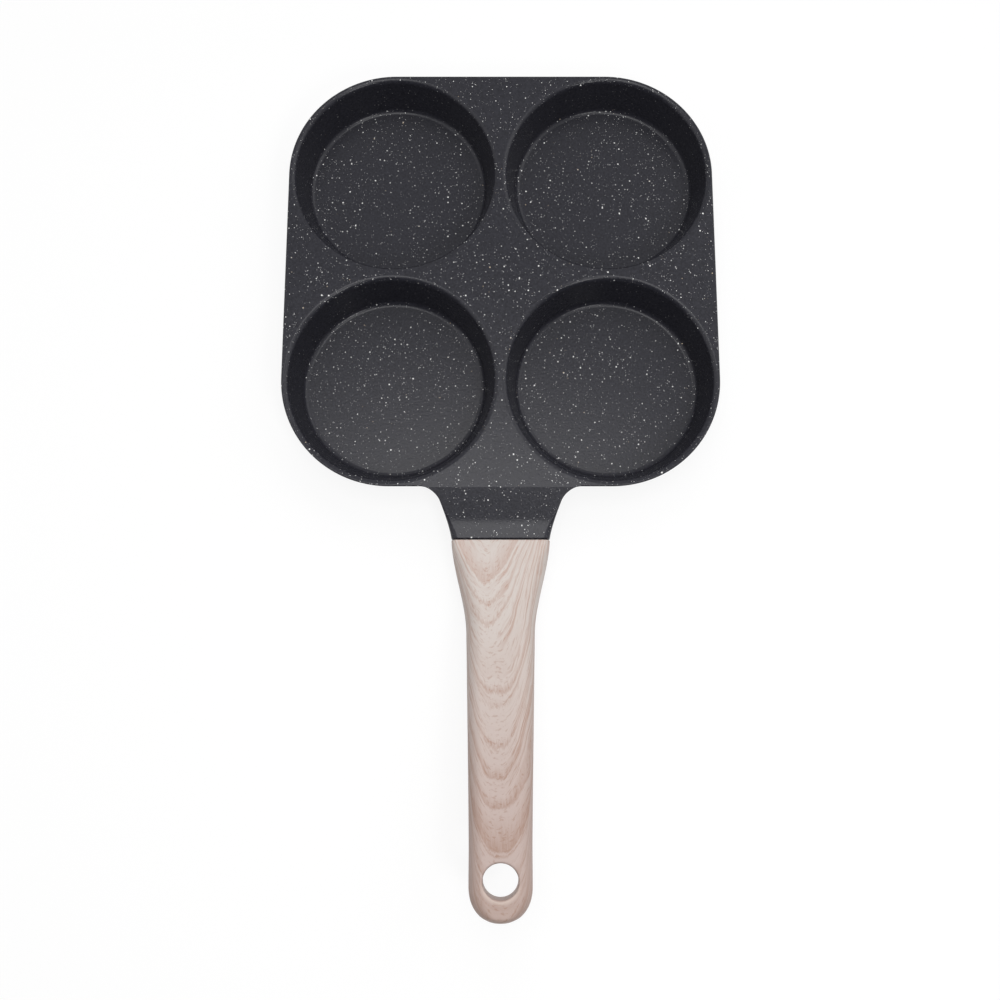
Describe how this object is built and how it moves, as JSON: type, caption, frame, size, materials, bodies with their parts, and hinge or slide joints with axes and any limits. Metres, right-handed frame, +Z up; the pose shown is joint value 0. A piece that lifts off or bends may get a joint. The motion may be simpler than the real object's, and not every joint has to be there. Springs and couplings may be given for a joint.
{
  "type": "egg pan",
  "caption": "Square cast pan with round egg cups sunk in a flat speckled deck, and a long pale wood-grain handle with a hanging hole.",
  "frame": {"origin": "below the middle of the pan's plan box, on the surface that the pan stands on", "axes": "+Z up, +Y from the handle's tail to the pan's far edge, +X to the right for a cook who holds the handle"},
  "size_m": [0.1946, 0.372, 0.0389],
  "materials": {
    "coated_casting": "satin charcoal non-stick coating with fine pale specks",
    "base_steel": "brushed stainless steel",
    "wood_grain_handle": "moulded, with a satin pale wood-grain finish",
    "fastener_steel": "plated steel"
  },
  "bodies": {
    "root": {"pan_casting": "coated_casting", "base_disc_far_left": "base_steel", "base_disc_far_right": "base_steel", "base_disc_near_left": "base_steel", "base_disc_near_right": "base_steel", "handle": "wood_grain_handle", "handle_screw": "fastener_steel", "screw_spring_washer": "fastener_steel", "screw_flat_washer": "fastener_steel"}
  },
  "joints": []
}
